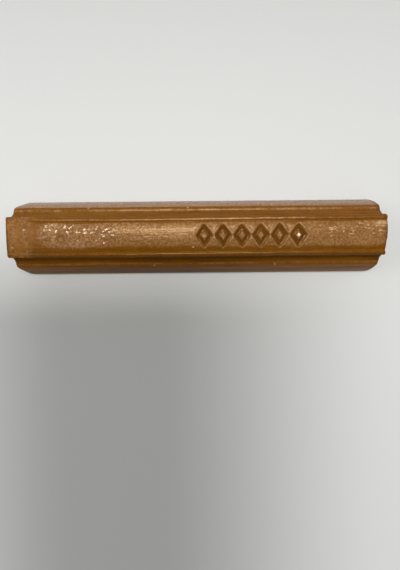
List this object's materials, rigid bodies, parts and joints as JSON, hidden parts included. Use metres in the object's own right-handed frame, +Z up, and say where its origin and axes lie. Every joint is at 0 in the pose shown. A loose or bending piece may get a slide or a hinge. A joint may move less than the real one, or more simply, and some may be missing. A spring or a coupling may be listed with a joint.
{
  "type": "furniture repair wax stick",
  "caption": "Moulded bar of pigmented hard wax with a flat foot, bulging sides, coved shoulders and a crowned upper band, cut or melted away to fill chips in furniture.",
  "frame": {"origin": "middle of the flat foot that the bar rests on", "axes": "+X along the bar towards its stamped half, +Y across the bar, +Z up from the foot to the crown"},
  "size_m": [0.08, 0.0166, 0.0107],
  "materials": {
    "wax": "satin hard wax, a little translucent, with a pale bloom on its exposed faces"
  },
  "bodies": {
    "root": {"wax_bar": "wax", "wax_crumbs": "wax"}
  },
  "joints": []
}
